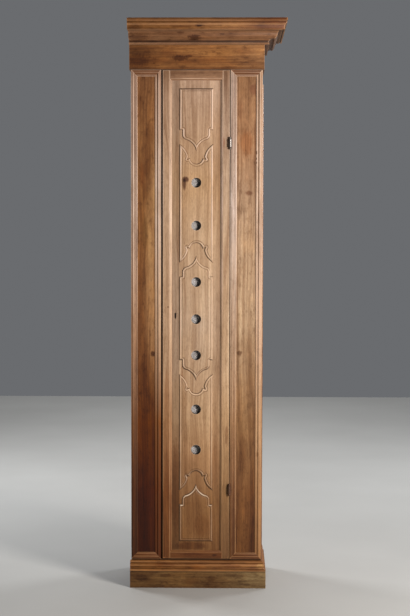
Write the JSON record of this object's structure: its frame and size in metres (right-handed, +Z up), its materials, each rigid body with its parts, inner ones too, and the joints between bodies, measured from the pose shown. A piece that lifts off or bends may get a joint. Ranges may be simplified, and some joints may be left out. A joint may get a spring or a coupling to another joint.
{
  "type": "bonnetiere cabinet",
  "caption": "Tall narrow wooden cupboard with a single carved, vented door hung between two panelled pilasters, under a deep moulded cornice and on a moulded plinth.",
  "frame": {"origin": "on the floor, in the middle of the whole cabinet outline seen from above", "axes": "+Z up, the front faces -Y, +X to the right of someone facing the front"},
  "size_m": [0.6496, 0.453, 2.35],
  "materials": {
    "front_wood": "stripped and waxed oak, reddish brown",
    "door_wood": "stripped and waxed oak, pale tan",
    "base_wood": "stripped oak, greyish brown, dry",
    "side_wood": "stripped and waxed oak",
    "inside_wood": "unfinished oak, dusty",
    "iron": "blackened wrought iron",
    "gauze": "fine zinc-coated wire gauze"
  },
  "bodies": {
    "carcass": {"back_board_1": "inside_wood", "back_board_2": "inside_wood", "back_board_3": "inside_wood", "back_bottom_rail": "inside_wood", "back_top_rail": "inside_wood", "base_moulding_front": "base_wood", "base_moulding_right": "base_wood", "bed_moulding_front": "front_wood", "bed_moulding_right": "front_wood", "crown_front": "front_wood", "crown_right": "front_wood", "door_stop": "inside_wood", "floor_board": "inside_wood", "frieze_back": "inside_wood", "frieze_front": "front_wood", "frieze_left": "front_wood", "frieze_right": "front_wood", "hinge_lower_frame_half": "iron", "hinge_upper_frame_half": "iron", "pilaster_left_bottom_rail": "front_wood", "pilaster_left_inner_stile": "front_wood", "pilaster_left_outer_stile": "front_wood", "pilaster_left_panel": "front_wood", "pilaster_left_top_rail": "front_wood", "pilaster_right_bottom_rail": "front_wood", "pilaster_right_inner_stile": "front_wood", "pilaster_right_outer_stile": "front_wood", "pilaster_right_panel": "front_wood", "pilaster_right_top_rail": "front_wood", "plinth_front": "base_wood", "plinth_right": "base_wood", "shelf_cleats": "inside_wood", "shelf_lower": "inside_wood", "shelf_middle": "inside_wood", "shelf_upper": "inside_wood", "side_left_bottom_rail": "side_wood", "side_left_front_post": "side_wood", "side_left_moulding": "side_wood", "side_left_panel": "side_wood", "side_left_rear_post": "side_wood", "side_left_top_rail": "side_wood", "side_right_bottom_rail": "side_wood", "side_right_front_post": "side_wood", "side_right_moulding": "side_wood", "side_right_panel": "side_wood", "side_right_rear_post": "side_wood", "side_right_top_rail": "side_wood", "threshold_rail": "base_wood", "top_board": "inside_wood"},
    "door": {"door_lock_stile": "door_wood", "door_hinge_stile": "door_wood", "door_top_rail": "door_wood", "door_bottom_rail": "door_wood", "door_panel": "door_wood", "door_gauze": "gauze", "lock_case": "iron", "hinge_upper_door_half": "iron", "hinge_lower_door_half": "iron"},
    "lock_bolt": {"lock_bolt": "iron"}
  },
  "joints": [
    {"name": "door_hinge", "type": "hinge", "parent": "carcass", "child": "door", "pos_m": [0.09425, -0.1355, 1.135], "axis": [0, 0, 1], "range_deg": [0, 170]},
    {"name": "bolt_throw", "type": "slide", "parent": "door", "child": "lock_bolt", "axis": [-1, 0, 0], "range_m": [0, 0.018]}
  ]
}
